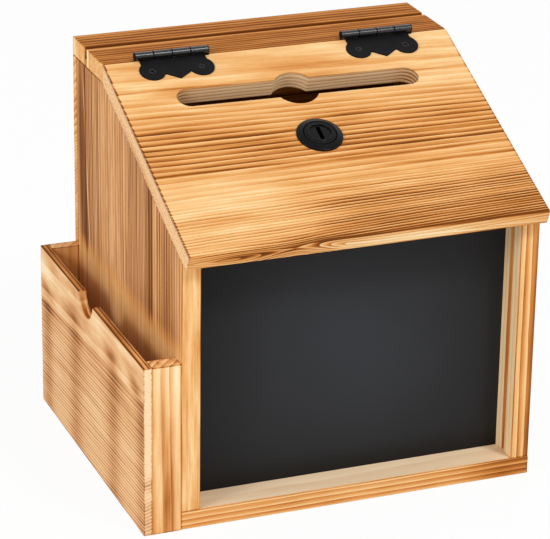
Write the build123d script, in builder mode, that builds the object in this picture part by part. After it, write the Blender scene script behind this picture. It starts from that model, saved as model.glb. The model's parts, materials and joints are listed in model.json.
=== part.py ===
from build123d import *
from math import cos, radians, sin, sqrt, tan
import os

# Desk letter box of scorched pine: a case of plain boards with a sloped, locking lid,
# a blackboard front set back between the sides, and an open pocket on its left side.
# X runs to the right, Y to the back and Z up, in millimetres.
# The origin is the centre of the case's underside, the pocket left out.

os.makedirs("parts", exist_ok=True)

# ---------------------------------------------------------------- driving dimensions

# Case
case_width = 230.0
case_depth = 207.0
case_height = 248.0
board = 12.0  # sides, bottom, top, hinge rail and lid
back_thickness = 7.0
flat_depth = 60.5  # level part of the top, from the hinge rail's front to the back
rail_height = 31.0
edge_ease = 0.8  # rounding of the handled arrises
fine_ease = 0.5  # rounding beside joints

# Sloped lid
lid_angle = 23.0
lid_overhang = 12.4  # top arris, forward of the case
lid_joint = 0.5  # open joint between lid and hinge rail
lid_seat_gap = 0.2  # lid's underside above the sides
nose_bevel_rise = 2.6  # bevel under the lid's front, up its front face
nose_bevel_run = 8.0  # and back along its underside

# Letter slot and the round thumb opening in its middle
slot_length = 159.0
slot_width = 16.2
slot_from_front = 133.2  # along the lid, from its front arris to the slot's middle
slot_offset = 0.6  # right of the case's middle
slot_tilt = -0.8  # degrees: the right end is a little further down the lid
thumb_radius = 14.6
thumb_from_front = 132.4
thumb_offset = -1.9

# Kerf that holds a card upright on the top board
kerf_width = 4.0
kerf_depth = 7.0
kerf_from_back = 24.5  # kerf's rear wall to the back

# Blackboard front and the grooves in the sides
front_panel_setback = 22.0
front_panel_thickness = 5.0
groove_depth = 4.0
groove_clearance = 0.15
panel_end_clearance = 0.4
sheet_groove_setback = 9.9
sheet_groove_width = 4.8

# Butterfly hinges
hinge_spacing = 137.0
hinge_offset = -1.9  # of the pair, from the case's middle
knuckle_radius = 2.5
knuckle_lift = 0.3  # barrel above the level top
barrel_length = 48.3
knuckles = 4  # along one barrel, taken in turn by the two leaves
knuckle_gap = 0.2
pin_radius = 1.1
pin_clearance = 0.05
leaf_thickness = 1.0
lobe_offset = 16.0  # lobe's middle, to each side of the hinge's middle
lobe_margin = 3.2  # lobe's upper edge, from the ridge
lobe_radius = 8.2
valley_offset = 8.5  # where the pointed middle starts from a lobe
leaf_tip = 20.2  # the point, from the ridge
leaf_waist = 42.6
leaf_shoulder = 1.1  # leaf's edge beside the barrel, from the ridge
leaf_recess_clearance = 0.3
leaf_ease = 0.3

# Countersunk hinge screws
screw_head_radius = 2.6
screw_shank_radius = 1.2
screw_length = 9.0
screw_clearance = 0.05

# Cam lock
lock_from_front = 88.0  # along the lid, from its front arris to the lock's axis
lock_offset = -2.4  # from the case's middle
flange_radius = 14.5
flange_rim = 1.0
flange_ease = 0.5
flange_height = 2.5
face_radius = 9.9
face_groove = 0.7
barrel_radius = 9.3
barrel_hole_clearance = 0.2
barrel_flats = 16.6
barrel_reach = 8.0  # barrel below the lid
plug_radius = 6.5
plug_clearance = 0.08
plug_rise = 0.4  # plug's face under the flange's
keyway_length = 11.0
keyway_width = 2.7
keyway_depth = 6.0
nut_across_flats = 24.0
nut_thickness = 4.0
cam_thickness = 2.3
cam_width = 16.0
cam_reach = 31.0
cam_gap = 0.5  # cam's upper face under the end of the barrel
tang = 8.0
tang_clearance = 0.1
cam_screw_radius = 2.0
cam_screw_length = 8.0
cam_screw_head_radius = 4.6
cam_screw_head = 2.2
cam_screw_ease = 0.7

# Catch rail that the cam turns under
catch_width = 18.0
catch_from_lock = 16.0  # from the lock's axis to the rail's near edge
catch_top_gap = 0.6
cam_catch_gap = 0.8

# Side pocket
pocket_width = 18.3  # clear width
pocket_height = 109.0
pocket_outer_thickness = 5.2
pocket_front_thickness = 11.0
pocket_back_thickness = 8.0
pocket_floor_thickness = 6.0
notch_radius = 14.2
notch_rise = 1.8  # centre of the finger notch above the board's top edge
notch_offset = 8.8  # and behind the board's middle
notch_ease = 1.2  # rounding of its two corners

# Brads
brad_radius = 0.7
brad_head_radius = 1.2
brad_head = 0.8
brad_clearance = 0.05
bottom_brad_length = 26.0
back_brad_length = 20.0
bottom_brad_margin = 41.0  # from the case's front and back to the end brads
back_brad_heights = (42.0, 116.5, 191.0)  # up the back panel's two upright rows
back_brad_spacing = 103.0  # between the two brads along the back panel's foot

# ---------------------------------------------------------------- derived places

half_width = case_width / 2
inner_half = half_width - board
front = -case_depth / 2
back = case_depth / 2
back_inner = back - back_thickness
top_under = case_height - board

rail_front = back - flat_depth
rail_back = rail_front + board
ridge = rail_front - lid_joint
slope = radians(lid_angle)

lid_front = front - lid_overhang
lid_length = (ridge - lid_front) / cos(slope)

# The lid's upper face: local X as the case's, local Y up the slope to the ridge, Z out of the lid.
lid_face = Plane(
    origin=(0, ridge, case_height),
    x_dir=(1, 0, 0),
    z_dir=(0, -sin(slope), cos(slope)),
)


def under_lid(y, depth):
    """Height of the plane that lies the given depth below the lid's upper face."""
    return case_height - (ridge - y) * tan(slope) - depth / cos(slope)


def finish(piece, name):
    """Label a finished piece and write it under its name."""
    piece.part.label = name
    export_step(piece.part, f"parts/{name}.step")


# Where the sides stop following the lid and run level under the rail and the top board
seat_depth = board + lid_seat_gap
level_start = ridge + (top_under - under_lid(ridge, seat_depth)) / tan(slope)

front_panel_front = front + front_panel_setback
front_panel_back = front_panel_front + front_panel_thickness

# Brads stand in the middle of the boards that they hold
bottom_brad_rows = (front + bottom_brad_margin, 0.0, back - bottom_brad_margin)
side_centres = (-half_width + board / 2, half_width - board / 2)
bottom_brad_places = [(x, y) for x in side_centres for y in bottom_brad_rows]
back_brad_places = [(x, z) for x in side_centres for z in back_brad_heights]
back_brad_places += [(x, board / 2) for x in (-back_brad_spacing / 2, back_brad_spacing / 2)]

underside = Plane.XY
back_face = Plane(origin=(0, back, 0), x_dir=(1, 0, 0), z_dir=(0, -1, 0))

# ---------------------------------------------------------------- case

# Bottom board, with a stopped groove for the foot of the blackboard
with BuildPart() as bottom_board:
    with BuildSketch(underside):
        with Locations((0, (front + back_inner) / 2)):
            Rectangle(case_width, back_inner - front)
    extrude(amount=board)
    front_arris = bottom_board.edges().filter_by(Axis.X).group_by(Axis.Y)[0]
    fillet(front_arris, radius=edge_ease)
    with BuildSketch(Plane.XY.offset(board)):
        with Locations((0, (front_panel_front + front_panel_back) / 2)):
            Rectangle(2 * (inner_half + groove_depth), front_panel_thickness + 2 * groove_clearance)
    extrude(amount=-groove_depth, mode=Mode.SUBTRACT)
    with BuildSketch(underside):
        with Locations(*bottom_brad_places):
            Circle(brad_radius + brad_clearance)
    extrude(amount=board, mode=Mode.SUBTRACT)
    with BuildSketch(underside):
        with Locations(*bottom_brad_places):
            Circle(brad_head_radius + brad_clearance)
    extrude(amount=brad_head + brad_clearance, mode=Mode.SUBTRACT)
    with BuildSketch(Plane(origin=(0, back_inner, 0), x_dir=(1, 0, 0), z_dir=(0, -1, 0))):
        with Locations(*[place for place in back_brad_places if place[1] < board]):
            Circle(brad_radius + brad_clearance)
    extrude(amount=back_brad_length - back_thickness, mode=Mode.SUBTRACT)
finish(bottom_board, "bottom_board")

# Side panels. Each has a groove that holds the blackboard, and in front of it an open one for a
# sheet of card. Both run out at the sloped top.
for side_name, hand in (("left", -1), ("right", 1)):
    inner_face = Plane.YZ.offset(hand * inner_half)
    with BuildPart() as side_panel:
        with BuildSketch(inner_face):
            Polygon(
                (front, board),
                (back_inner, board),
                (back_inner, top_under),
                (level_start, top_under),
                (front, under_lid(front, seat_depth)),
                align=None,
            )
        extrude(amount=hand * board)
        upright_arrises = side_panel.edges().filter_by(Axis.Z).group_by(Axis.Y)[0]
        fillet(upright_arrises, radius=edge_ease)
        with BuildSketch(inner_face):
            with Locations((front_panel_front - groove_clearance, board)):
                Rectangle(
                    front_panel_thickness + 2 * groove_clearance,
                    case_height,
                    align=(Align.MIN, Align.MIN),
                )
            with Locations((front + sheet_groove_setback, board)):
                Rectangle(sheet_groove_width, case_height, align=(Align.MIN, Align.MIN))
        extrude(amount=hand * groove_depth, mode=Mode.SUBTRACT)
        with BuildSketch(Plane.XY.offset(board)):
            with Locations(*[place for place in bottom_brad_places if place[0] * hand > 0]):
                Circle(brad_radius + brad_clearance)
        extrude(amount=bottom_brad_length - board, mode=Mode.SUBTRACT)
        with BuildSketch(Plane(origin=(0, back_inner, 0), x_dir=(1, 0, 0), z_dir=(0, -1, 0))):
            with Locations(*[place for place in back_brad_places if place[0] * hand > inner_half]):
                Circle(brad_radius + brad_clearance)
        extrude(amount=back_brad_length - back_thickness, mode=Mode.SUBTRACT)
    finish(side_panel, f"{side_name}_side_panel")

# Back panel, over the rear edges of the sides and the bottom
with BuildPart() as back_panel:
    with BuildSketch(back_face):
        Rectangle(case_width, top_under, align=(Align.CENTER, Align.MIN))
    extrude(amount=back_thickness)
    fillet(back_panel.edges().filter_by(Axis.Z).group_by(Axis.Y)[-1], radius=fine_ease)
    with BuildSketch(back_face):
        with Locations(*back_brad_places):
            Circle(brad_radius + brad_clearance)
    extrude(amount=back_thickness, mode=Mode.SUBTRACT)
    with BuildSketch(back_face):
        with Locations(*back_brad_places):
            Circle(brad_head_radius + brad_clearance)
    extrude(amount=brad_head + brad_clearance, mode=Mode.SUBTRACT)
finish(back_panel, "back_panel")

# Top board, with the kerf across it
kerf_back = back - kerf_from_back
with BuildPart() as top_board:
    with BuildSketch(Plane.XY.offset(top_under)):
        with Locations((0, (rail_back + back) / 2)):
            Rectangle(case_width, back - rail_back)
    extrude(amount=board)
    with BuildSketch(Plane.XY.offset(case_height)):
        with Locations((0, kerf_back - kerf_width / 2)):
            Rectangle(case_width, kerf_width)
    extrude(amount=-kerf_depth, mode=Mode.SUBTRACT)
    level_arrises = top_board.edges().filter_by(Axis.X).group_by(Axis.Z)[-1].sort_by(Axis.Y)
    kerf_arrises = level_arrises[1:3]
    fillet(kerf_arrises, radius=fine_ease)
    fillet(top_board.edges().filter_by(Axis.X).group_by(Axis.Y)[-1], radius=edge_ease)
    ends = top_board.edges().filter_by(Axis.Y).group_by(Axis.Z)[-1]
    fillet(ends, radius=fine_ease)
finish(top_board, "top_board")

# Hinge rail: a board on edge between the sides, with an ear over each of them. The hinges' rear
# leaves are let into its front face, out of sight in the joint.
axis_y = ridge + lid_joint / 2
axis_z = case_height + knuckle_radius + knuckle_lift
lobe_drop = lobe_margin + lobe_radius  # lobe's middle, from the ridge
leaf_depth = max(leaf_tip, lobe_drop + lobe_radius)
hinge_places = {
    "left": hinge_offset - hinge_spacing / 2,
    "right": hinge_offset + hinge_spacing / 2,
}

# The rear leaf's plane: local X across, local Y up from the top's level, Z forward out of the rail.
rear_leaf_face = Plane(origin=(0, rail_front, case_height), x_dir=(1, 0, 0), z_dir=(0, -1, 0))

screw_places = [
    (centre + side * lobe_offset, -lobe_drop)
    for centre in hinge_places.values()
    for side in (-1, 1)
]

with BuildPart() as hinge_rail:
    with BuildSketch(rear_leaf_face):
        Rectangle(case_width, board, align=(Align.CENTER, Align.MAX))
        Rectangle(2 * inner_half, rail_height, align=(Align.CENTER, Align.MAX))
    extrude(amount=-board)
    fillet(hinge_rail.edges().filter_by(Axis.Y).group_by(Axis.Z)[-1], radius=fine_ease)
    with BuildSketch(rear_leaf_face):
        for centre in hinge_places.values():
            with Locations((centre, 0)):
                Rectangle(
                    2 * (lobe_offset + lobe_radius + leaf_recess_clearance),
                    leaf_depth + leaf_recess_clearance,
                    align=(Align.CENTER, Align.MAX),
                )
    extrude(amount=-leaf_thickness, mode=Mode.SUBTRACT)
    with BuildSketch(rear_leaf_face.offset(-leaf_thickness)):
        with Locations(*screw_places):
            Circle(screw_shank_radius + screw_clearance)
    extrude(amount=-screw_length, mode=Mode.SUBTRACT)
finish(hinge_rail, "hinge_rail")

# Blackboard front, its edges in the grooves and its top planed to the lid's slope
panel_half = inner_half + groove_depth - panel_end_clearance
with BuildPart() as blackboard:
    with BuildSketch(Plane.YZ):
        Polygon(
            (front_panel_front, board - groove_depth + panel_end_clearance),
            (front_panel_back, board - groove_depth + panel_end_clearance),
            (front_panel_back, under_lid(front_panel_back, seat_depth + panel_end_clearance)),
            (front_panel_front, under_lid(front_panel_front, seat_depth + panel_end_clearance)),
            align=None,
        )
    extrude(amount=panel_half, both=True)
finish(blackboard, "blackboard_panel")

# ---------------------------------------------------------------- lid

lock_y = lock_from_front - lid_length
slot_y = slot_from_front - lid_length
thumb_y = thumb_from_front - lid_length

with BuildPart() as lid_board:
    with BuildSketch(Plane.YZ):
        Polygon(
            (lid_front, under_lid(lid_front, 0)),
            (ridge, case_height),
            (ridge, under_lid(ridge, board)),
            (lid_front + board * sin(slope), under_lid(lid_front, 0) - board * cos(slope)),
            align=None,
        )
    extrude(amount=half_width, both=True)
    front_face = lid_board.faces().filter_by(Axis.X, reverse=True).sort_by(Axis.Y)[0]
    chamfer(
        front_face.edges().filter_by(Axis.X).sort_by(Axis.Z)[0],
        length=nose_bevel_rise,
        length2=nose_bevel_run,
        reference=front_face,
    )
    long_arrises = lid_board.edges().filter_by(Axis.X)
    rear_arris = long_arrises.group_by(Axis.Y)[-1].sort_by(Axis.Z)[-1]
    fillet(long_arrises.group_by(Axis.Y)[0], radius=edge_ease)
    fillet(rear_arris, radius=fine_ease)
    with BuildSketch(lid_face):
        with Locations((slot_offset, slot_y)):
            SlotOverall(slot_length, slot_width, rotation=slot_tilt)
        with Locations((thumb_offset, thumb_y)):
            Circle(thumb_radius)
    extrude(amount=board, both=True, mode=Mode.SUBTRACT)
    with BuildSketch(lid_face):
        with Locations((lock_offset, lock_y)):
            Circle(barrel_radius + barrel_hole_clearance)
    extrude(amount=board, both=True, mode=Mode.SUBTRACT)
    with BuildSketch(lid_face):
        with Locations(*screw_places):
            Circle(screw_shank_radius + screw_clearance)
    extrude(amount=-(screw_length + leaf_thickness), mode=Mode.SUBTRACT)
finish(lid_board, "lid_board")

# ---------------------------------------------------------------- hinges

# The floor of the rear leaves' recesses
recess_face = rear_leaf_face.offset(-leaf_thickness)

valley_drop = lobe_drop + sqrt(lobe_radius**2 - (lobe_offset - valley_offset) ** 2)
knuckle_pitch = (barrel_length + knuckle_gap) / knuckles
knuckle_length = knuckle_pitch - knuckle_gap
barrel_start = -barrel_length / 2
pin_bore = pin_radius + pin_clearance
screw_sink = screw_head_radius + screw_clearance
screw_hole = screw_shank_radius + screw_clearance


def butterfly_leaf(seat, first_knuckle):
    """One leaf, drawn flat: X along the hinge, Y up to the barrel, Z out of the leaf's seat.

    Two round lobes and a point between them, with every second knuckle from the given one rolled
    round the pin. The barrel stands where the hinges' axis passes the seat.
    """
    barrel_middle = seat.to_local_coords(Vector(0, axis_y, axis_z))
    with BuildPart() as leaf:
        with BuildSketch():
            with Locations((-lobe_offset, -lobe_drop), (lobe_offset, -lobe_drop)):
                Circle(lobe_radius)
            Polygon(
                (-leaf_waist / 2, -leaf_shoulder),
                (-leaf_waist / 2, -lobe_drop),
                (-lobe_offset, -lobe_drop),
                (-valley_offset, -valley_drop),
                (0, -leaf_tip),
                (valley_offset, -valley_drop),
                (lobe_offset, -lobe_drop),
                (leaf_waist / 2, -lobe_drop),
                (leaf_waist / 2, -leaf_shoulder),
                align=None,
            )
        extrude(amount=leaf_thickness)
        fillet(leaf.faces().sort_by(Axis.Z)[-1].edges(), radius=leaf_ease)
        with Locations(
            (-lobe_offset, -lobe_drop, leaf_thickness),
            (lobe_offset, -lobe_drop, leaf_thickness),
        ):
            CounterSinkHole(screw_hole, screw_sink, counter_sink_angle=90)
        for index in range(first_knuckle, knuckles, 2):
            knuckle_start = barrel_start + index * knuckle_pitch
            with BuildSketch():
                with Locations((knuckle_start, -leaf_shoulder - leaf_ease)):
                    Rectangle(
                        knuckle_length,
                        leaf_shoulder + leaf_ease + barrel_middle.Y,
                        align=(Align.MIN, Align.MIN),
                    )
            extrude(amount=leaf_thickness)
            with BuildSketch(Plane.YZ.offset(knuckle_start)):
                with Locations((barrel_middle.Y, barrel_middle.Z)):
                    Circle(knuckle_radius)
            extrude(amount=knuckle_length)
        with BuildSketch(Plane.YZ.offset(barrel_start)):
            with Locations((barrel_middle.Y, barrel_middle.Z)):
                Circle(pin_bore)
        extrude(amount=barrel_length, mode=Mode.SUBTRACT)
    return leaf.part


front_leaf_form = butterfly_leaf(lid_face, first_knuckle=1)
rear_leaf_form = butterfly_leaf(recess_face, first_knuckle=0)

for side_name, centre in hinge_places.items():
    with BuildPart(lid_face) as front_leaf:
        with Locations((centre, 0)):
            add(front_leaf_form)
    finish(front_leaf, f"front_leaf_{side_name}")

    with BuildPart(recess_face) as rear_leaf:
        with Locations((centre, 0)):
            add(rear_leaf_form)
    finish(rear_leaf, f"rear_leaf_{side_name}")

    with BuildPart() as hinge_pin:
        with BuildSketch(Plane.YZ.offset(centre + barrel_start)):
            with Locations((axis_y, axis_z)):
                Circle(pin_radius)
        extrude(amount=barrel_length)
    finish(hinge_pin, f"hinge_pin_{side_name}")

# Countersunk screws, one group for the lid's leaves and one for the rail's
for group_name, seat in (("front_leaf_screws", lid_face), ("rear_leaf_screws", recess_face)):
    with BuildPart() as leaf_screws:
        with BuildSketch(seat.offset(leaf_thickness)):
            with Locations(*screw_places):
                Circle(screw_head_radius)
        extrude(amount=-leaf_thickness, taper=45)
        with BuildSketch(seat.offset(leaf_thickness)):
            with Locations(*screw_places):
                Circle(screw_shank_radius)
        extrude(amount=-screw_length)
    finish(leaf_screws, group_name)

# ---------------------------------------------------------------- cam lock

# The lock's own plane: on the lid's face, at the lock's axis
lock_face = Plane(
    origin=lid_face.from_local_coords((lock_offset, lock_y, 0)),
    x_dir=(1, 0, 0),
    z_dir=lid_face.z_dir,
)
# A plane through the axis for turned profiles: local X is the radius, local Y runs out of the lid
lock_section = Plane(origin=lock_face.origin, x_dir=(1, 0, 0), z_dir=-lock_face.y_dir)
lock_axis = Axis(lock_face.origin, lock_face.z_dir)

barrel_end = -(board + barrel_reach)
cam_top = barrel_end - cam_gap
cam_under = cam_top - cam_thickness
bore_radius = plug_radius + plug_clearance

# Turned body: sloping flange, a ring groove round the flat face, and the barrel with two flats
with BuildPart() as lock_body:
    with BuildSketch(lock_section):
        Polygon(
            (bore_radius, barrel_end),
            (barrel_radius, barrel_end),
            (barrel_radius, 0),
            (flange_radius, 0),
            (flange_radius, flange_rim),
            (face_radius + face_groove, flange_height),
            (face_radius + face_groove / 2, flange_height - face_groove),
            (face_radius, flange_height),
            (bore_radius, flange_height),
            align=None,
        )
    revolve(axis=lock_axis)
    with BuildSketch(lock_face):
        with Locations((barrel_flats / 2, 0)):
            Rectangle(barrel_radius, 2 * barrel_radius, align=(Align.MIN, Align.CENTER))
        with Locations((-barrel_flats / 2, 0)):
            Rectangle(barrel_radius, 2 * barrel_radius, align=(Align.MAX, Align.CENTER))
    extrude(amount=barrel_end, mode=Mode.SUBTRACT)
    rim = lock_body.edges().filter_by(GeomType.CIRCLE).group_by(SortBy.RADIUS)[-1]
    fillet(rim.sort_by(lock_axis)[-1], radius=flange_ease)
finish(lock_body, "lock_body")

# Nut, drawn up against the lid's underside
with BuildPart() as lock_nut:
    with BuildSketch(lock_face.offset(-board)):
        RegularPolygon(nut_across_flats / 2, 6, major_radius=False)
        Circle(barrel_radius + screw_clearance, mode=Mode.SUBTRACT)
    extrude(amount=-nut_thickness)
finish(lock_nut, "lock_nut")

# Plug that the key turns, with a square tang for the cam
plug_face = flange_height - plug_rise
with BuildPart() as lock_plug:
    with BuildSketch(lock_face.offset(plug_face)):
        Circle(plug_radius)
    extrude(amount=cam_top - plug_face)
    with BuildSketch(lock_face.offset(cam_top)):
        Rectangle(tang, tang)
    extrude(amount=-cam_thickness)
    with BuildSketch(lock_face.offset(plug_face)):
        Rectangle(keyway_width, keyway_length)
    extrude(amount=-keyway_depth, mode=Mode.SUBTRACT)
    with BuildSketch(lock_face.offset(cam_under)):
        Circle(cam_screw_radius + screw_clearance)
    extrude(amount=cam_screw_length, mode=Mode.SUBTRACT)
finish(lock_plug, "lock_plug")

# Cam, turned aside to the left: the lid is free
with BuildPart() as lock_cam:
    with BuildSketch(lock_face.offset(cam_top)):
        Circle(cam_width / 2)
        with Locations((-cam_reach + cam_width / 2, 0)):
            Circle(cam_width / 2)
        Rectangle(cam_reach - cam_width / 2, cam_width, align=(Align.MAX, Align.CENTER))
        Rectangle(tang + 2 * tang_clearance, tang + 2 * tang_clearance, mode=Mode.SUBTRACT)
    extrude(amount=-cam_thickness)
finish(lock_cam, "lock_cam")

with BuildPart() as cam_screw:
    with BuildSketch(lock_face.offset(cam_under)):
        Circle(cam_screw_head_radius)
    extrude(amount=-cam_screw_head)
    with BuildSketch(lock_face.offset(cam_under)):
        Circle(cam_screw_radius)
    extrude(amount=cam_screw_length - 2 * screw_clearance)
    head_rim = cam_screw.edges().filter_by(GeomType.CIRCLE).sort_by(lock_axis)[0]
    fillet(head_rim, radius=cam_screw_ease)
finish(cam_screw, "cam_screw")

# Catch rail, between the sides under the lid. The cam turns beneath it.
catch_thickness = -cam_top - cam_catch_gap - board - catch_top_gap
with BuildPart() as catch_rail:
    with BuildSketch(lid_face.offset(-board - catch_top_gap)):
        with Locations((0, lock_y - catch_from_lock)):
            Rectangle(2 * inner_half, catch_width, align=(Align.CENTER, Align.MAX))
    extrude(amount=-catch_thickness)
finish(catch_rail, "catch_rail")

# ---------------------------------------------------------------- side pocket

pocket_inner = -half_width - pocket_width
pocket_outer = pocket_inner - pocket_outer_thickness

# Outer board, with a round finger notch in its top edge
with BuildPart() as pocket_outer_board:
    with BuildSketch(Plane.YZ.offset(pocket_outer)):
        Rectangle(case_depth, pocket_height, align=(Align.CENTER, Align.MIN))
        with Locations((notch_offset, pocket_height + notch_rise)):
            Circle(notch_radius, mode=Mode.SUBTRACT)
    extrude(amount=pocket_outer_thickness)
    top_corners = pocket_outer_board.edges().filter_by(Axis.X).group_by(Axis.Z)[-1]
    fillet(top_corners.sort_by(Axis.Y)[1:3], radius=notch_ease)
    outer_edges = pocket_outer_board.faces().sort_by(Axis.X)[0].edges()
    fillet(outer_edges.filter_by(Axis.Y).group_by(Axis.Z)[-1], radius=fine_ease)
finish(pocket_outer_board, "pocket_outer_board")

# Front and back boards and floor, between the outer board and the case
for name, low, high, height in (
    ("pocket_front_board", front, front + pocket_front_thickness, pocket_height),
    ("pocket_back_board", back - pocket_back_thickness, back, pocket_height),
    (
        "pocket_floor",
        front + pocket_front_thickness,
        back - pocket_back_thickness,
        pocket_floor_thickness,
    ),
):
    with BuildPart() as pocket_piece:
        with BuildSketch(Plane.XY):
            with Locations((pocket_inner, low)):
                Rectangle(pocket_width, high - low, align=(Align.MIN, Align.MIN))
        extrude(amount=height)
    finish(pocket_piece, name)

# ---------------------------------------------------------------- brads

for group_name, plane, places, length in (
    ("bottom_brads", underside, bottom_brad_places, bottom_brad_length),
    ("back_panel_brads", back_face, back_brad_places, back_brad_length),
):
    with BuildPart() as brads:
        with BuildSketch(plane):
            with Locations(*places):
                Circle(brad_head_radius)
        extrude(amount=brad_head)
        with BuildSketch(plane):
            with Locations(*places):
                Circle(brad_radius)
        extrude(amount=length - brad_clearance)
    finish(brads, group_name)
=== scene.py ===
import json
from math import cos, radians, sin

import bmesh
import bpy
from mathutils import Matrix, Vector


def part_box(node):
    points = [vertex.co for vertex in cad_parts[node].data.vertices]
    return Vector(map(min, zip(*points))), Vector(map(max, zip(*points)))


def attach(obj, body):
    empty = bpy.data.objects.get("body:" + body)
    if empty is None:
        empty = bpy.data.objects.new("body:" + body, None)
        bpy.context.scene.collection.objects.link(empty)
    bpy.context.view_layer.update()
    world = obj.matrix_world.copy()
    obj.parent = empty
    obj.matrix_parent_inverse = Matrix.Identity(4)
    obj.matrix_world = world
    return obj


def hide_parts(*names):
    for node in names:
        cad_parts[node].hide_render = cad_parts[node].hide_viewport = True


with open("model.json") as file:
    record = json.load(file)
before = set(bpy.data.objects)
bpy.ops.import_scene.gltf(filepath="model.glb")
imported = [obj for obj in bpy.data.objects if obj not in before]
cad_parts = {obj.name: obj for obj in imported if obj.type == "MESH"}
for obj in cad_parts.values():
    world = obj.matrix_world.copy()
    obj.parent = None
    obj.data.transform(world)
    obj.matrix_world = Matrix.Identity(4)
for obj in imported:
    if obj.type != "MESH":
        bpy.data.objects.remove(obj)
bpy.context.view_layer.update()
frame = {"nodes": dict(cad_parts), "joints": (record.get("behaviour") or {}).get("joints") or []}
cad = frame["nodes"]

# ---------------------------------------------------------------- bottom board
# A pine board under the sides. Its front edge was scorched with a torch and brushed, so that each
# growth ring stands out brown. Its upper face was masked by the case and stayed pale.

MM = 0.001
RIGHT = Vector((1, 0, 0))
REAR = Vector((0, 1, 0))
UP = Vector((0, 0, 1))


def tone(red, green, blue):
    """A colour as a paint chart gives it, 0 to 255, made linear for the shaders."""
    channels = []
    for value in (red, green, blue):
        share = value / 255
        channels.append(share / 12.92 if share <= 0.04045 else ((share + 0.055) / 1.055) ** 2.4)
    return (*channels, 1.0)


class Shade:
    """A shader socket. Arithmetic on it adds Math nodes, and node() adds any other kind."""

    def __init__(self, socket):
        self.socket = socket

    def node(self, kind, settings, inputs, output=0):
        """Add a node: first its settings, then the values or links of its sockets."""
        tree = self.socket.id_data
        made = tree.nodes.new(kind)
        for key, value in settings.items():
            if key == "stops":
                ramp = made.color_ramp
                while len(ramp.elements) < len(value):
                    ramp.elements.new(0.5)
                for element, (place, colour) in zip(ramp.elements, value):
                    element.position = place
                    element.color = colour
            else:
                setattr(made, key, value)
        for key, value in inputs.items():
            if isinstance(value, Shade):
                tree.links.new(value.socket, made.inputs[key])
            else:
                made.inputs[key].default_value = value
        return Shade(made.outputs[output])

    def math(self, operation, *others):
        inputs = dict(enumerate((self, *others)))
        return self.node("ShaderNodeMath", {"operation": operation}, inputs)

    def __add__(self, other):
        return self.math("ADD", other)

    def __sub__(self, other):
        return self.math("SUBTRACT", other)

    def __mul__(self, other):
        return self.math("MULTIPLY", other)

    def __truediv__(self, other):
        return self.math("DIVIDE", other)

    def __rsub__(self, other):
        return self * -1 + other

    __radd__ = __add__
    __rmul__ = __mul__

    def least(self, other):
        return self.math("MINIMUM", other)

    def most(self, other):
        return self.math("MAXIMUM", other)

    def near(self, middle, spread):
        """1 at the middle, falling softly to nothing on both sides of it."""
        offset = (self - middle) / spread
        return (offset * offset * -1).math("EXPONENT")

    def step(self, low, high, bottom=0.0, top=1.0, kind="SMOOTHSTEP"):
        """A rise from bottom to top while the value goes from low to high."""
        settings = {"interpolation_type": kind}
        inputs = {"Value": self, "From Min": low, "From Max": high, "To Min": bottom, "To Max": top}
        return self.node("ShaderNodeMapRange", settings, inputs)

    def profile(self, span, stops):
        """A value that follows (place, height) stops over 0 to span."""
        chart = [(place / span, (height, height, height, 1.0)) for place, height in stops]
        return (self / span).chart(chart)

    def chart(self, stops):
        """A colour read off a chart by this value."""
        return self.node("ShaderNodeValToRGB", {"stops": stops}, {"Fac": self})

    def noise(self, scale, detail):
        """Soft noise from 0 to 1, read at this point."""
        inputs = {"Vector": self, "Scale": scale, "Detail": detail}
        return self.node("ShaderNodeTexNoise", {}, inputs)

    def mix(self, other, share):
        """This colour turned into another one by a share."""
        inputs = {"Factor": share, "A": self, "B": other}
        return self.node("ShaderNodeMix", {"data_type": "RGBA"}, inputs, "Result")


class Finish:
    """A surface finish: one material, read in the object's own coordinates."""

    def __init__(self, name):
        self.material = bpy.data.materials.new(name)
        self.material.use_nodes = True
        nodes = self.material.node_tree.nodes
        self.shader = nodes["Principled BSDF"]
        self.point = Shade(nodes.new("ShaderNodeTexCoord").outputs["Object"])

    def measure(self, corner, direction):
        """Distance from the corner along a direction, in millimetres."""
        settings = {"operation": "DOT_PRODUCT"}
        inputs = {0: self.point, 1: tuple(direction)}
        reach = self.point.node("ShaderNodeVectorMath", settings, inputs, "Value")
        return (reach - Vector(corner).dot(direction)) / MM

    def coat(self, colour, roughness, height, strength, distance, specular=0.5):
        """Link what changes over the surface, and set what doesn't."""
        bump = {"Strength": strength, "Distance": distance, "Height": height}
        normal = height.node("ShaderNodeBump", {}, bump)
        self.link("Base Color", colour)
        self.link("Roughness", roughness)
        self.link("Normal", normal)
        self.shader.inputs["Specular IOR Level"].default_value = specular

    def link(self, socket, value):
        self.material.node_tree.links.new(value.socket, self.shader.inputs[socket])

    def cover(self, *nodes):
        """Put the finish on CAD nodes."""
        for name in nodes:
            cad[name].data.materials.clear()
            cad[name].data.materials.append(self.material)


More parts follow.
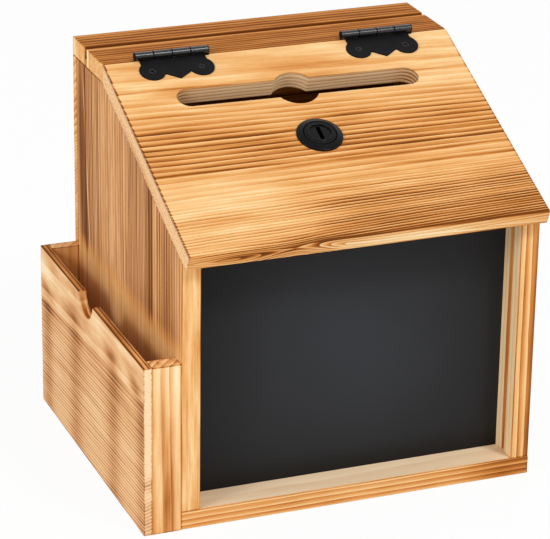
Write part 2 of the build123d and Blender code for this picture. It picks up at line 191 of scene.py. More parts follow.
class Plank(Finish):
    """Pine with its own figure. Places on it are in millimetres from one corner of its best face:
    along the grain, across it, and inward from the face."""

    scorch_chart = (
        (0.00, tone(255, 228, 184)),
        (0.14, tone(247, 203, 143)),
        (0.34, tone(230, 167, 99)),
        (0.55, tone(202, 129, 61)),
        (0.76, tone(152, 85, 30)),
        (1.00, tone(86, 43, 13)),
    )
    raw_chart = (
        (0.00, tone(255, 230, 194)),
        (0.35, tone(233, 194, 150)),
        (0.70, tone(174, 118, 74)),
        (1.00, tone(98, 58, 34)),
    )
    deepest_char = 0.92

    def __init__(self, name, corner, along, across, inward, size):
        super().__init__(name)
        self.length, self.width, self.thickness = size
        self.along = self.measure(corner, along)
        self.across = self.measure(corner, across)
        self.inward = self.measure(corner, inward)
        self.end = self.along.least(self.length - self.along)
        self.side = self.across.least(self.width - self.across)
        face = self.inward.least(self.thickness - self.inward)
        nearer = self.end.least(self.side)
        self.arris = nearer.most(self.end.most(self.side).least(face))

    @classmethod
    def filling(cls, name, low, high, along, across, inward):
        """A plank that fills a box, from the corner that its three directions lead away from."""
        leading = along + across + inward
        corner = [near if way > 0 else far for near, far, way in zip(low, high, leading)]
        size = [abs(direction.dot(high - low)) / MM for direction in (along, across, inward)]
        return cls(name, corner, along, across, inward, size)

    def patches(self, length, width, seed, detail=2.0):
        """Soft variation about 0, in patches drawn out along the grain."""
        axes = {"X": self.along / length + seed, "Y": self.across / width, "Z": self.inward / width}
        place = self.point.node("ShaderNodeCombineXYZ", {}, axes)
        return (place.noise(1.0, detail) - 0.5) * 2

    def mark(self, along, across, length, width):
        """A soft mark round one place on the face: 1 in its middle."""
        return self.along.near(along, length) * self.across.near(across, width)

    def bands(self, start, end, drop, *bands):
        """Bold brown bands between two places along the grain. Each is (lower edge, width, depth):
        it starts softly at its upper edge and is crisp at its lower one. All drop a little on the
        way."""
        crispness = 0.6
        fade = 20.0
        stops = [(0, 0)]
        for edge, width, depth in bands:
            stops += [(edge - width, 0), (edge - crispness, depth), (edge, 0)]
        wander = self.patches(60, 24, start + 0.3) * 1.1
        place = self.across + wander - self.along * (drop / self.length)
        begun = self.along.step(start - fade, start + fade)
        ended = self.along.step(end - fade, end + fade)
        return place.profile(self.width, stops) * (begun * (1 - ended))

    def late_wood(self, zones, slant, lean, sway, seed, soft=2.0, chance=0.65):
        """How brown the late wood is. Each zone is (from, to, rings) across the plank. The rings
        slant along the face, lean inwards through the thickness, and sway. Each one darkens slowly
        and then ends at a crisp edge. The more is left to chance, the less one is as dark as the
        next."""
        drift = self.patches(90, 30, seed) * sway + self.patches(22, 7, seed + 3) * (sway / 6)
        uneven = self.patches(900, 6, seed + 5) * (chance * 1.6)
        place = self.across + self.along * slant + self.inward * lean + drift + uneven
        count = place * 0
        for start, end, rings in zones:
            count = count + place.step(start, end, 0.0, rings, "LINEAR")
        ring = count.math("FLOOR")
        part = count - ring
        chances = []
        for offset in (seed, seed + 40):
            settings = {"noise_dimensions": "1D"}
            chances.append(ring.node("ShaderNodeTexWhiteNoise", settings, {"W": ring + offset}))
        softness = chances[0] * (soft * chance) + (soft - soft * chance / 2)
        darkness = chances[1] * chance + (1 - chance)
        crisp_end = 1 - part.step(0.90, 1.0)
        fading = self.patches(48, 4, seed + 7) * 0.5 + 1.0
        return part.math("POWER", softness) * crisp_end * darkness * fading

    def brush(self, char, lines, nodes, raw=None, cut_char=None):
        """Colour from how far the surface is charred, with fibres, sheen and the late wood
        standing proud. Where raw is 1, the wood was cut or covered, and kept the colour of plain
        pine."""
        fibre = self.patches(26, 0.55, seed=11, detail=4.0)
        speck = self.patches(3, 0.45, seed=17)
        grain = self.patches(55, 1.3, seed=23, detail=3.0)
        burnt_arris = (1 - self.arris.step(0.15, 0.85)) * (grain * 0.5 + 0.30)
        depth = char + grain * 0.16 + fibre * 0.07 + speck * 0.06 + burnt_arris
        colour = depth.least(self.deepest_char).chart(self.scorch_chart)
        if raw is not None:
            plain = depth if cut_char is None else cut_char + fibre * 0.06
            colour = colour.mix(plain.chart(self.raw_chart), raw)
        self.coat(
            colour,
            roughness=0.66 + fibre * 0.10,
            height=lines * 0.10 + fibre * 0.05,
            strength=0.45,
            distance=MM,
            specular=0.05,
        )
        self.cover(*nodes)


low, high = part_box("bottom_board")
bottom = Plank.filling("bottom_board_pine", low, high, along=RIGHT, across=UP, inward=REAR)
zones = ((-4, 16, 5.6),)
lines = bottom.late_wood(zones, slant=-0.004, lean=0.16, sway=1.0, seed=2.0, soft=0.7, chance=0.3)
upper_face = bottom.across.step(11.4, 11.9) * bottom.inward.step(0.5, 1.2)
underside = 1 - bottom.across.step(0.1, 0.6)
dark_end = bottom.along.step(172, 216)
char = 0.08 + lines * 0.58 + bottom.patches(60, 12, seed=4.0) * 0.12 + dark_end * 0.30
plain = 0.02 + lines * 0.2 + bottom.patches(40, 9, seed=6.0) * 0.12
bottom.brush(char, lines, ["bottom_board"], raw=upper_face.most(underside), cut_char=plain)

# ---------------------------------------------------------------- side panels
# Two pine panels with upright grain. The torch left a dark flame near the back of the left one.
# Their front edges are the frame beside the blackboard.

low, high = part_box("left_side_panel")
left = Plank.filling("left_side_pine", low, high, along=-UP, across=-REAR, inward=RIGHT)
off_front = (left.width - left.across).step(0.2, 1.2)
zones = ((-10, 19, 3), (19, 44, 8), (44, 93, 10), (93, 137, 17), (137, 157, 4), (157, 260, 24))
lines = left.late_wood(zones, slant=-0.008, lean=1.3, sway=1.6, seed=8.0)
boldness = left.across.profile(
    200,
    ((0, 0.3), (14, 0.35), (20, 1.0), (44, 1.0), (52, 0.3), (84, 0.35), (96, 0.74), (130, 0.8),
     (138, 1.0), (156, 0.85), (166, 0.5), (200, 0.6)),
)
flame = left.mark(along=56, across=10, length=66, width=7.5)
flame_tail = left.mark(along=120, across=17, length=40, width=6)
pale_line = (left.across - left.along * 0.10).near(12.5, 1.0) * left.along.step(0, 20)
flecks = left.patches(16, 1.8, seed=12.0) * left.mark(along=100, across=68, length=200, width=26)
dark_band = left.mark(along=100, across=143, length=400, width=5)
front_band = left.mark(along=150, across=172, length=120, width=14)
pale_band = left.mark(along=100, across=151.5, length=400, width=1.5)
pale_ring = left.mark(along=90, across=94, length=300, width=1.2)
char = (0.16 * off_front + 0.26) + lines * boldness * (0.22 + off_front * 0.90)
char = char + (1 - off_front) * left.patches(34, 4, seed=10.0) * 0.34
char = char + left.patches(70, 16, seed=9.0) * 0.12 + flecks * 0.22
dark_marks = flame * 0.50 + flame_tail * 0.30 + (dark_band + front_band * 0.7) * 0.28
char = char + (dark_marks - pale_line * 0.40) * off_front
char = char - (pale_band + pale_ring * 0.5) * 0.3
inside = left.inward.step(10.6, 11.8) * left.side.step(0.6, 1.6)
sooty = off_front * (1 - left.along.step(112, 124)) * 0.45
in_pocket = left.along.step(112, 128) * off_front
pocket_char = 0.22 + lines * 0.36 + left.patches(60, 9, seed=13.0) * 0.14
char = char + (pocket_char - char) * in_pocket
left.brush(char, lines, ["left_side_panel"], raw=inside * 0.6 + sooty * (1 - inside))

low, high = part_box("right_side_panel")
right = Plank.filling("right_side_pine", low, high, along=-UP, across=REAR, inward=-RIGHT)
zones = ((-14, 20, 7), (20, 90, 16), (90, 150, 24), (150, 230, 12))
lines = right.late_wood(zones, slant=0.008, lean=1.1, sway=2.0, seed=14.0)
outer_arris = (1 - right.inward.step(0.5, 4.5)) * (1 - right.across.step(0.5, 2.0))
outer_arris = outer_arris * right.along.step(20, 110, 0.5, 1.6)
inside = right.inward.step(10.6, 11.8) * right.side.step(0.6, 1.6)
char = 0.20 + lines * 0.62 + right.patches(70, 16, seed=19.0) * 0.15 + outer_arris * 0.34
char = char + right.mark(along=120, across=40, length=90, width=12) * 0.30
char = char + right.mark(along=60, across=150, length=120, width=18) * 0.22
# Painted light: the inner face is painted paler, to stand in for light that reaches it in the shade
# of the lid.
char = char - inside * 0.24
right.brush(char, lines, ["right_side_panel"])

# ---------------------------------------------------------------- back panel
# A thinner pine board over the rear edges, with level grain and one small knot. Its ends show at
# the sides.

low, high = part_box("back_panel")
back = Plank.filling("back_panel_pine", low, high, along=-RIGHT, across=-UP, inward=-REAR)
back_knot = back.mark(along=150, across=96, length=16, width=10)
back.across = back.across + back_knot * 9
zones = ((-10, 60, 12), (60, 130, 30), (130, 190, 14), (190, 250, 20))
lines = back.late_wood(zones, slant=0.02, lean=0.7, sway=3.0, seed=25.0)
char = 0.24 + lines * 0.58 + back.patches(80, 24, seed=27.0) * 0.18
char = char + back.bands(-40, 190, 4, (42, 3.5, 0.35)) + back.bands(60, 290, -5, (150, 3.0, 0.35))
char = char + back_knot * 0.12 + back.mark(along=30, across=190, length=70, width=26) * 0.16
back.brush(char, lines, ["back_panel"])

# ---------------------------------------------------------------- top board and hinge rail
# The level top was scorched much darker than the rest. The kerf's walls are burnt darkest, and a
# pale line lies in front of them.

low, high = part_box("top_board")
low.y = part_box("hinge_rail")[0].y
top = Plank.filling("dark_top_pine", low, high, along=-RIGHT, across=-REAR, inward=-UP)
kerf_middle = 26.5
top.arris = top.arris.most(top.across.step(top.width - 3, top.width - 1.5))
zones = ((-8, 24, 6.4), (24, 38, 2.6), (38, 70, 9))
lines = top.late_wood(zones, slant=0.004, lean=0.8, sway=1.4, seed=31.0, soft=1.3, chance=0.5)
kerf = top.across.near(kerf_middle, 2.9)
pale_front = top.across.near(kerf_middle + 4.2, 1.5)
dark_front = top.across.near(kerf_middle + 7.6, 1.4)
dark_rear = top.across.near(15, 3.5)
pale_rear = top.across.near(4, 1.2)
ends = 1 - top.end.step(0.1, 0.9)
char = 0.46 + top.across.step(28, 40) * 0.07 + lines * 0.56
char = char + top.patches(50, 9, seed=37.0) * 0.16 + top.patches(70, 2.0, seed=39.0) * 0.16
char = char + kerf * 0.36 - pale_front * 0.42 - ends * (lines * 0.5 + 0.26)
char = char + dark_front * 0.12 + dark_rear * 0.10 - pale_rear * 0.16
top.brush(char, lines, ["top_board", "hinge_rail"])

# ---------------------------------------------------------------- blackboard
# A hardboard sheet with a matt chalkboard coat, in grooves between the side panels. Its colour
# carries painted shade: lighter in the middle, darker towards its edges and darkest along its foot.

slate = Finish("blackboard_coat")
low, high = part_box("blackboard_panel")
middle = (low + high) / 2
grit = slate.point.noise(2600.0, 3.0)
cloud = slate.point.noise(14.0, 3.0)
# Painted shade: the board is painted lighter in its middle and darker towards its edges.
unshaded_middle = slate.measure(middle, RIGHT).near(0, 90) * slate.measure(middle, UP).near(0, 80)
# Painted shade: the board is painted darker along its foot, just above the ledge.
shaded_foot = slate.measure(low, UP).step(0, 22, 0.25, 1.0)
# Cloudy tone and grit, with the painted shade laid over them.
haze_and_shade = (unshaded_middle * 0.62 + grit * 0.08 + cloud * 0.30) * shaded_foot
slate_chart = ((0.05, tone(17, 15, 13)), (0.95, tone(51, 53, 57)))
slate.coat(
    haze_and_shade.chart(slate_chart),
    roughness=grit * 0.1 + 0.66,
    height=grit,
    strength=0.25,
    distance=0.1 * MM,
    specular=0.2,
)
slate.cover("blackboard_panel")

# ---------------------------------------------------------------- catch rail
# A plain strip of unburnt pine across the case, under the lid. The lock's cam turns beneath it to
# hold the lid down.

low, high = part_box("catch_rail")
catch = Plank.filling("catch_rail_pine", low, high, along=RIGHT, across=REAR, inward=-UP)
lines = catch.late_wood(((-20, 40, 22),), slant=0.01, lean=0.5, sway=1.5, seed=44.0)
char = 0.20 + lines * 0.4 + catch.patches(50, 10, seed=45.0) * 0.1
catch.brush(char, lines, ["catch_rail"], raw=0.9)

# ---------------------------------------------------------------- side pocket
# Thin pine boards. The outer one is pale and wavy near its top and ribbed below, with broad burns
# across the grain. The front, back and floor boards stand between it and the case.

low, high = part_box("pocket_outer_board")
outer = Plank.filling("pocket_outer_pine", low, high, along=-REAR, across=-UP, inward=RIGHT)
top_edge = 1 - outer.across.step(0.2, 0.9)
ends = 1 - outer.end.step(0.1, 0.5)
inner_face = outer.inward.step(4.0, 5.0)
slant = 0.058
ribs_start = 34
lowered = outer.across + outer.along * slant
upper = 1 - lowered.step(ribs_start - 2, ribs_start + 2)
crest = lowered.near(ribs_start, 0.8)
tongue = outer.mark(along=2, across=15, length=20, width=5.5)
burns = 0
for place, length in ((14, 10), (73, 13), (149, 13), (204, 11)):
    burns = outer.mark(along=place, across=60, length=length, width=400) + burns
blots = 0
for place, depth, length, width in (
    (14, 27, 16, 5),
    (72, 21, 17, 8),
    (146, 19, 14, 7),
    (190, 19, 12, 5),
):
    blots = outer.mark(along=place, across=depth, length=length, width=width) + blots
zones = ((-5, 33, 2.2), (33, 44, 3.6), (44, 130, 37))
soft = outer.across.step(36, 62, 0.4, 1.3)
lines = outer.late_wood(zones, slant, lean=0.25, sway=0.8, seed=52.0, soft=soft, chance=0.4)
wave = outer.patches(34, 12, seed=55.0)
char = 0.12 - crest * 0.2 + lines * (1 - upper * 0.6) * 0.66
char = char + burns * (0.20 + lines * 0.10) * (1 - upper) + blots * 0.40 * upper
char = char - tongue * 0.40 + wave * (0.10 + upper * 0.24)
comb = outer.across.step(82, 90) + outer.mark(along=207, across=76, length=20, width=5)
end_grain = (outer.inward * 1.7 + outer.patches(900, 9, seed=59.0) * 1.2).math("FRACT")
end_char = 0.04 + end_grain * 0.16 + comb * (lines * 0.55 + 0.10)
notch_wall = outer.inward.step(0.6, 1.2) * (1 - outer.inward.step(3.0, 3.6)) * (1 - ends)
char = char + notch_wall * outer.across.step(2.0, 13.0, 0.0, 0.4)
edge_lines = outer.inward.near(0.6, 0.5) + outer.inward.near(3.6, 0.5)
char = char + top_edge * (0.16 + edge_lines * 0.55 + outer.patches(60, 2.0, seed=58.0) * 0.2)
char = char + inner_face * 0.16
char = char + (end_char - char) * ends
raw = (ends * 0.2 + 0.5) * (1 - inner_face) * (1 - notch_wall)
outer.brush(char, lines, ["pocket_outer_board"], raw=raw)

for name, inner_side, seed in (("pocket_front_board", 1, 63.0), ("pocket_back_board", 0, 67.0)):
    low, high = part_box(name)
    board = Plank.filling(f"{name}_pine", low, high, along=-UP, across=-RIGHT, inward=REAR)
    lines = board.late_wood(((-10, 30, 7),), slant=0.01, lean=0.8, sway=2.4, seed=seed)
    upper_end = 1 - board.along.step(0.1, 0.8)
    char = 0.04 + lines * 0.46 + board.patches(50, 7, seed + 2) * 0.24
    char = char + board.along.step(20, 110) * 0.16 + upper_end * (0.15 + lines * 0.2)
    char = char + board.mark(along=84, across=8, length=44, width=3.2) * 0.42
    char = char + board.mark(along=40, across=12, length=30, width=2.5) * 0.20
    from_pocket = (board.inward - board.thickness * inner_side).math("ABSOLUTE")
    in_pocket = 1 - from_pocket.step(0.4, 1.2)
    char = char + (0.24 + lines * 0.3 - char) * in_pocket
    board.brush(char, lines, [name], raw=0.15 - in_pocket * 0.15)

low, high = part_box("pocket_floor")
floor_board = Plank.filling("pocket_floor_pine", low, high, along=-REAR, across=RIGHT, inward=-UP)
lines = floor_board.late_wood(((-10, 30, 12),), slant=0.01, lean=0.8, sway=1.0, seed=73.0)
floor_board.brush(0.35 + lines * 0.4, lines, ["pocket_floor"])

# ---------------------------------------------------------------- lid
# A single pine board with level grain: nearly plain at the ridge, strongly striped round the lock,
# and close-grained at the front, where a knot bends the rings. The slot was cut after scorching.

low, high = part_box("lid_board")
joints = {joint["name"]: joint for joint in frame["joints"]}
out_of_lid = Vector(joints["lock_turn"]["axis"])
down_lid = RIGHT.cross(out_of_lid)
ridge = Vector((low.x, high.y, high.z))
lid_length = (high.x - low.x) / MM
lid_width = (high.y - low.y) / -down_lid.y / MM
lid_thickness = 12.0
lid = Plank(
    "lid_pine",
    corner=ridge,
    along=RIGHT,
    across=down_lid,
    inward=-out_of_lid,
    size=(lid_length, lid_width, lid_thickness),
)
lid.arris = lid.arris.most(1 - lid.across.step(1.5, 3.0))
to_front = lid.width - lid.across
nose = 1 - to_front.step(0.2, 0.9)
ends = 1 - lid.end.step(0.1, 0.5)
cut = lid.inward.step(0.4, 1.0) * lid.end.step(0.4, 1.2) * to_front.step(0.4, 1.2)
left_arris = 1 - (lid.along + lid.inward).step(0.5, 1.3)
right_arris = 1 - (lid.length - lid.along + lid.inward).step(0.5, 1.3)

left_bands = lid.bands(
    -30, 84, 2.0, (29.5, 2.4, 0.26), (72.4, 3.4, 0.16), (77.6, 3.8, 0.22), (83.6, 4.8, 0.24),
    (104.4, 2.0, 0.42), (165.8, 2.6, 0.12),
)
right_bands = lid.bands(
    146, 270, 0.0, (35.8, 1.5, 0.30), (89.8, 2.6, 0.18), (99.8, 3.0, 0.24), (117.2, 3.6, 0.34),
    (148.5, 1.6, 0.20), (171.4, 2.6, 0.30),
)
long_bands = lid.bands(
    72, 290, -0.6, (108.4, 3.2, 0.38), (125.0, 2.0, 0.20), (170.0, 2.4, 0.16),
)
streaks = left_bands + right_bands + long_bands

# The front rings fold round a line in the front edge, just under its arris. The line rises at the
# knot, and the rings pinch in to it there.
rise = to_front - lid.inward
fold = lid.along.near(72, 24) * 3.0 - 5.6
from_fold = rise - fold
pinch = (lid.along - 63).math("ABSOLUTE").step(2, 38, 18.0, 0.0)
ring_radius = (from_fold * from_fold + pinch).math("SQRT")
crowded = (7 - ring_radius).most(0.0) * lid.along.near(61, 42) * 1.1
fan = lid.along * (lid.across - 98) * 0.0006
lid.across = lid.width - ring_radius - fold + crowded + fan
near_knot = lid.along.near(66, 34) * rise.near(-2, 10)

zones = ((-5, 30, 3), (30, 53, 4), (53, 105, 11), (105, 127, 4.4), (127, 150, 9), (150, 200, 22))
lines = lid.late_wood(zones, slant=0.0, lean=0.0, sway=1.2, seed=82.0, soft=1.2, chance=0.45)
boldness = lid.across.profile(
    172,
    ((0, 0.20), (30, 0.22), (48, 0.30), (58, 0.52), (70, 0.78), (102, 0.78), (109, 0.40),
     (126, 0.42), (134, 0.62), (158, 0.80), (172, 0.95)),
)
front_right = lid.along.step(60, 130) * lid.across.step(122, 150)
front_left = (1 - lid.along.step(50, 110)) * lid.across.step(106, 118)
near_ridge = 1 - lid.across.step(38, 52)
patchy = 0.86 + lid.patches(60, 7, seed=84.0) * 0.6
strength = boldness * (patchy + front_right * 0.34) * (1 - front_left * 0.45)
strength = strength + near_knot * 0.8
char = 0.15 + lines * strength * 1.2 + streaks
char = char + lid.patches(60, 12, seed=86.0, detail=3.0) * (0.18 + near_ridge * 0.14)
char = char + lid.patches(90, 3.4, seed=88.0) * 0.08 + front_right * 0.03 - front_left * 0.03
for along, across, length, width, depth in (
    (115, 80, 220, 34, 0.10),
    (118, 19, 52, 8, 0.20),
    (138, 12, 26, 5, 0.26),
    (112, 165, 34, 6, 0.10),
    (222, 168, 40, 8, 0.14),
    (60, 32, 60, 4, 0.10),
    (20, 4, 60, 4, 0.10),
):
    char = char + lid.mark(along, across, length, width) * depth

front_lens = lid.along.near(36, 22) * lid.inward.near(4.0, 2.2)
pale_lens = lid.along.near(140, 62) * lid.inward.near(6.0, 3.0)
front_line = lid.inward.near(9.4, 0.9) * lid.along.step(120, 170)
figure = front_lens * 0.40 - pale_lens * 0.30 + front_line * 0.45
nose_char = 0.18 + lid.patches(80, 3.0, seed=90.0) * 0.16 + lines * (0.5 + near_knot * 0.6)
char = char + (nose_char + figure - char) * nose
end_char = 0.26 + lid.patches(40, 2.0, seed=92.0) * 0.34
end_char = end_char + lid.inward.step(9.0, 12.0) * lines * 0.4
end_char = end_char + lid.across.near(84, 34) * lid.inward.near(9.5, 2.4) * 0.3
char = char + (end_char - char) * ends
front_arris = rise.near(0.7, 1.2) * lid.along.step(70, 88)
char = char + front_arris * 0.42 * (1 - ends)
char = char + left_arris * (0.16 + lines * 1.2) + right_arris * lines * 0.4

# The slot's walls show the layers of the board from the side. The underside stayed unburnt.
layer = (lid.inward / 2.8 + lid.patches(50, 9, seed=94.0) * 0.5 + lid.along * 0.003).math("FRACT")
left_end = lid.mark(along=36, across=40, length=9, width=40)
right_end = lid.mark(along=195, across=40, length=9, width=40)
slot_end = left_end + right_end
lower_rim = lid.inward.step(10.6, 11.4)
underside = lid.inward.step(11.2, 11.9)
cut_char = layer.math("POWER", 2.0) * (0.56 + slot_end * 0.4) + 0.02
cut_char = cut_char + slot_end * 0.15 + lower_rim * 0.2
under_char = 0.16 + lines * 0.40 + lid.patches(90, 20, seed=96.0) * 0.16
cut_char = cut_char + (under_char - cut_char) * underside
char = char + (cut_char - char) * cut
lid.brush(char, lines, ["lid_board"], raw=(cut * 0.5).most(ends * 0.4), cut_char=cut_char)

# ---------------------------------------------------------------- hinges and their screws
# Butterfly hinges stamped and rolled from sheet steel, with black baked enamel: matt on the leaves
# and shiny on the rubbed barrels. Countersunk cross-recess screws hold them.

enamel = Finish("hinge_enamel")
barrel = Vector(joints["lid_hinge"]["pos_m"])
above = enamel.measure(barrel, UP)
behind = enamel.measure(barrel, REAR)
radius = (above * above + behind * behind).math("SQRT")
rubbed = 1 - radius.step(2.7, 3.1)
knuckles = 4
left_low, left_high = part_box("hinge_pin_left")
right_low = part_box("hinge_pin_right")[0]
hinge_spacing = (right_low.x - left_low.x) / MM
pitch = (left_high.x - left_low.x) / knuckles / MM
along_pin = enamel.measure(left_low, RIGHT)
on_right = along_pin.math("GREATER_THAN", hinge_spacing / 2) * hinge_spacing
turn = ((along_pin - on_right) / pitch).math("FRACT")
gap = 1 - (turn.least(1 - turn) * pitch).step(0.25, 0.6)
shiny = rubbed * (1 - gap)
scuff = enamel.point.noise(160.0, 4.0)
enamel_chart = ((0.3, tone(9, 9, 10)), (0.75, tone(20, 20, 23)))
enamel.coat(
    scuff.chart(enamel_chart),
    roughness=scuff * 0.14 + 0.50 - shiny * 0.3,
    height=enamel.point.noise(900.0, 2.0),
    strength=0.02,
    distance=0.05 * MM,
    specular=0.10,
)
enamel.link("Coat Weight", shiny)
enamel.shader.inputs["Coat Roughness"].default_value = 0.27
enamel.shader.inputs["Coat IOR"].default_value = 1.43
for side in ("left", "right"):
    enamel.cover(f"front_leaf_{side}", f"rear_leaf_{side}", f"hinge_pin_{side}")

worn = Finish("worn_enamel")
scratch = worn.point.noise(1500.0, 3.0)
worn_chart = ((0.3, tone(10, 10, 11)), (0.7, tone(30, 30, 33)))
worn.coat(
    scratch.chart(worn_chart),
    roughness=scratch * 0.2 + 0.25,
    height=scratch,
    strength=0.2,
    distance=0.04 * MM,
    specular=0.3,
)

head_radius = 2.6 * MM
head_depth = 1.4 * MM
rim_ease = 0.55 * MM
shank_radius = 1.2 * MM
shank_length = 7.4 * MM
tip_share = 0.4
arm_half_width = 0.5 * MM
arm_reach = 1.9 * MM
recess_depth = 0.9 * MM
recess_foot_share = 0.6
head_segments = 32
rim_segments = 3
lobe_spacing = 32.0 * MM
lobe_from_ridge = 11.4 * MM
leaf_thickness = 1.0 * MM
hair = 0.01 * MM


def verts_of(geometry):
    return [item for item in geometry if isinstance(item, bmesh.types.BMVert)]


def finished(name, shape, finish):
    """Turn a mesh in progress into an object with its finish."""
    mesh = bpy.data.meshes.new(name)
    shape.to_mesh(mesh)
    shape.free()
    mesh.materials.append(finish.material)
    piece = bpy.data.objects.new(name, mesh)
    bpy.context.scene.collection.objects.link(piece)
    return piece


def draw_down(shape, faces, depth, share):
    """Push faces straight down with walls behind them, and narrow their outline to a share."""
    moved = verts_of(bmesh.ops.extrude_face_region(shape, geom=faces)["geom"])
    bmesh.ops.delete(shape, geom=faces, context="FACES_ONLY")
    bmesh.ops.translate(shape, verts=moved, vec=(0, 0, -depth))
    bmesh.ops.scale(shape, verts=moved, vec=(share, share, 1.0))


def screw_group(name, seats):
    """Screws whose heads lie level with their seats' own XY planes, as one piece."""
    shape = bmesh.new()
    bmesh.ops.create_cone(
        shape,
        cap_ends=True,
        segments=head_segments,
        radius1=shank_radius,
        radius2=head_radius,
        depth=head_depth,
    )
    bmesh.ops.translate(shape, verts=shape.verts, vec=(0, 0, -head_depth / 2))
    lower = min(shape.faces, key=lambda face: face.calc_center_median().z)
    draw_down(shape, [lower], shank_length, tip_share)
    rim = [edge for edge in shape.edges if min(v.co.z for v in edge.verts) > -hair]
    bmesh.ops.bevel(
        shape,
        geom=rim,
        offset=rim_ease,
        offset_type="OFFSET",
        segments=rim_segments,
        profile=0.5,
        affect="EDGES",
        material=-1,
    )
    for axis in (RIGHT, REAR):
        for reach in (-arm_reach, -arm_half_width, arm_half_width, arm_reach):
            flat = [face for face in shape.faces if face.calc_center_median().z > -hair]
            edges = {edge for face in flat for edge in face.edges}
            corners = {vert for face in flat for vert in face.verts}
            bmesh.ops.bisect_plane(
                shape, geom=[*corners, *edges, *flat], plane_co=axis * reach, plane_no=axis
            )
    cross = []
    for face in shape.faces:
        middle = face.calc_center_median()
        near, far = sorted((abs(middle.x), abs(middle.y)))
        if middle.z > -hair and near < arm_half_width and far < arm_reach:
            cross.append(face)
    draw_down(shape, cross, recess_depth, recess_foot_share)
    pattern = [*shape.verts, *shape.edges, *shape.faces]
    for seat in seats:
        copy = bmesh.ops.duplicate(shape, geom=pattern)["geom"]
        bmesh.ops.transform(shape, matrix=seat, verts=verts_of(copy))
    bmesh.ops.delete(shape, geom=verts_of(pattern), context="VERTS")
    bmesh.ops.recalc_face_normals(shape, faces=shape.faces)
    return finished(name, shape, worn)


rail_low, rail_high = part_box("rear_leaf_screws")
on_rail = Vector((0, rail_low.y, (rail_low.z + rail_high.z) / 2))
on_lid = ridge + down_lid * lobe_from_ridge + out_of_lid * leaf_thickness
for group, body, face_middle, across_face, out_of_face in (
    ("front_leaf_screws", "lid", on_lid, -down_lid, out_of_lid),
    ("rear_leaf_screws", "case", on_rail, UP, -REAR),
):
    low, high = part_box(group)
    facing = Matrix((RIGHT, across_face, out_of_face)).transposed().to_4x4()
    first = low.x + head_radius
    last = high.x - head_radius
    seats = []
    for place, degrees in (
        (first, 20),
        (first + lobe_spacing, 64),
        (last - lobe_spacing, 41),
        (last, 8),
    ):
        origin = Vector((place, face_middle.y, face_middle.z))
        turned = Matrix.Rotation(radians(degrees), 4, "Z")
        seats.append(Matrix.Translation(origin) @ facing @ turned)
    piece = screw_group(f"{group}_recessed", seats)
    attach(piece, body)
    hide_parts(group)

# ---------------------------------------------------------------- lock
# A turned cam lock in glossy black enamel. A raised lip runs round its plug. The nut, the cam and
# their screw are zinc plated.

gloss = Finish("glossy_enamel")
spots = gloss.point.noise(500.0, 3.0)
gloss_chart = ((0.3, tone(5, 4, 4)), (0.75, tone(13, 12, 12)))
gloss.coat(
    spots.chart(gloss_chart),
    roughness=spots * 0.06 + 0.19,
    height=spots,
    strength=0.05,
    distance=0.04 * MM,
    specular=0.12,
)
gloss.cover("lock_body", "lock_plug")

lip_inner = 6.9 * MM
lip_outer = 8.5 * MM
lip_height = 0.45 * MM
lip_sink = 0.2 * MM
inner_slope = 0.2 * MM
inner_rise = lip_height * 0.8
outer_slope = 0.3 * MM
outer_rise = lip_height * 0.6
lip_steps = 72
flange_height = 2.5 * MM
lip = bmesh.new()
section = [
    lip.verts.new(corner)
    for corner in (
        (lip_inner, 0, -lip_sink),
        (lip_inner + inner_slope, 0, inner_rise),
        ((lip_inner + lip_outer) / 2, 0, lip_height),
        (lip_outer - outer_slope, 0, outer_rise),
        (lip_outer, 0, -lip_sink),
    )
]
outline = [lip.edges.new((section[i - 1], section[i])) for i in range(len(section))]
bmesh.ops.spin(
    lip,
    geom=[*section, *outline],
    cent=(0, 0, 0),
    axis=(0, 0, 1),
    angle=radians(360),
    steps=lip_steps,
    use_merge=True,
)
bmesh.ops.recalc_face_normals(lip, faces=lip.faces)
facing = Matrix((RIGHT, -down_lid, out_of_lid)).transposed().to_4x4()
lock_middle = Vector(joints["lock_turn"]["pos_m"])
flange = Matrix.Translation(lock_middle + out_of_lid * flange_height) @ facing
bmesh.ops.transform(lip, matrix=flange, verts=lip.verts)
lock_lip = finished("lock_lip", lip, gloss)
for face in lock_lip.data.polygons:
    face.use_smooth = True
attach(lock_lip, "lid")

zinc = Finish("zinc_plate")
bloom = zinc.point.noise(420.0, 4.0)
zinc_chart = ((0.3, tone(176, 178, 180)), (0.7, tone(206, 206, 202)))
zinc.coat(
    bloom.chart(zinc_chart),
    roughness=bloom * 0.3 + 0.2,
    height=bloom,
    strength=0.1,
    distance=0.05 * MM,
)
zinc.shader.inputs["Metallic"].default_value = 1.0
zinc.cover("lock_nut", "lock_cam", "cam_screw", "bottom_brads", "back_panel_brads")

# ---------------------------------------------------------------- stage
# A plain pale floor in an even white surround. A soft key light stands high in front, to the
# right, and a broad weaker one to the left.

background_share = 0.93
world_level = 0.62
floor_half_size = 6.0
floor_drop = 0.2 * MM
lit_point = Vector((0.0, 0.0, 0.13))


def background_rays(nodes):
    """1 for a ray that shows the background: straight from the camera, mirrored or let through."""
    path = nodes.new("ShaderNodeLightPath")
    seen = Shade(path.outputs["Is Camera Ray"])
    for name in ("Is Glossy Ray", "Is Transmission Ray"):
        seen = seen.most(Shade(path.outputs[name]))
    return seen


white = bpy.data.materials.new("studio_floor")
white.use_nodes = True
nodes = white.node_tree.nodes
links = white.node_tree.links
paper = nodes["Principled BSDF"]
paper.inputs["Base Color"].default_value = (0.95, 0.95, 0.95, 1.0)
paper.inputs["Roughness"].default_value = 0.9
paper.inputs["Specular IOR Level"].default_value = 0.1
shine = nodes.new("ShaderNodeEmission")
blend = nodes.new("ShaderNodeMixShader")
links.new((background_rays(nodes) * background_share).socket, blend.inputs[0])
links.new(paper.outputs[0], blend.inputs[1])
links.new(shine.outputs[0], blend.inputs[2])
links.new(blend.outputs[0], nodes["Material Output"].inputs["Surface"])

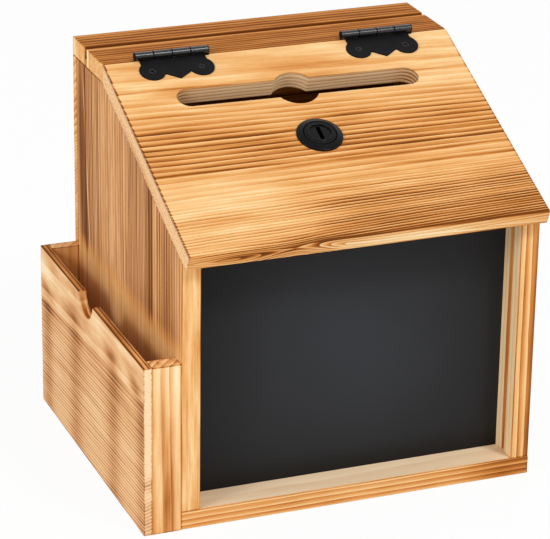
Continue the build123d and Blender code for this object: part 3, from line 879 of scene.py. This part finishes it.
shape = bmesh.new()
bmesh.ops.create_grid(shape, x_segments=1, y_segments=1, size=floor_half_size)
bmesh.ops.translate(shape, verts=shape.verts, vec=(0, 0, -floor_drop))
mesh = bpy.data.meshes.new("studio_floor")
shape.to_mesh(mesh)
shape.free()
mesh.materials.append(white)
studio_floor = bpy.data.objects.new("studio_floor", mesh)
bpy.context.scene.collection.objects.link(studio_floor)

world = bpy.data.worlds.new("studio")
world.use_nodes = True
bpy.context.scene.world = world
nodes = world.node_tree.nodes
brightness = background_rays(nodes).step(0.0, 1.0, world_level, 1.0, "LINEAR")
world.node_tree.links.new(brightness.socket, nodes["Background"].inputs["Strength"])
nodes["Background"].inputs["Color"].default_value = (1.0, 1.0, 1.0, 1.0)

for name, place, size, power in (
    ("key_light", (0.72, -1.5, 2.0), 0.45, 20.0),
    ("left_light", (-1.9, -0.9, 1.2), 0.7, 16.0),
):
    lamp = bpy.data.lights.new(name, "AREA")
    lamp.shape = "SQUARE"
    lamp.size = size
    lamp.energy = power
    light = bpy.data.objects.new(name, lamp)
    light.location = place
    aim = Vector(place) - lit_point
    light.rotation_euler = aim.to_track_quat("Z", "Y").to_euler()
    bpy.context.scene.collection.objects.link(light)

# ---------------------------------------------------------------- camera
# The eye stands off the left front corner, above the lid, and looks down on it through a long
# lens, with a slight roll.

azimuth = radians(-21.544)
elevation = radians(22.304)
roll = radians(0.892)
eye_point = Vector((-0.6177, -1.5233, 0.7875))
towards = Vector((sin(azimuth) * cos(elevation), -cos(azimuth) * cos(elevation), sin(elevation)))
level_right = Vector((cos(azimuth), sin(azimuth), 0.0))
level_up = towards.cross(level_right)
view_right = level_right * cos(roll) + level_up * sin(roll)
view_up = level_up * cos(roll) - level_right * sin(roll)
eye = bpy.data.cameras.new("camera")
eye.sensor_width = 36.0
eye.lens = 184.42
camera = bpy.data.objects.new("camera", eye)
view = Matrix((view_right, view_up, towards)).transposed().to_4x4()
view.translation = eye_point
camera.matrix_world = view
bpy.context.scene.collection.objects.link(camera)
bpy.context.scene.camera = camera
bpy.context.scene.view_settings.view_transform = "Standard"
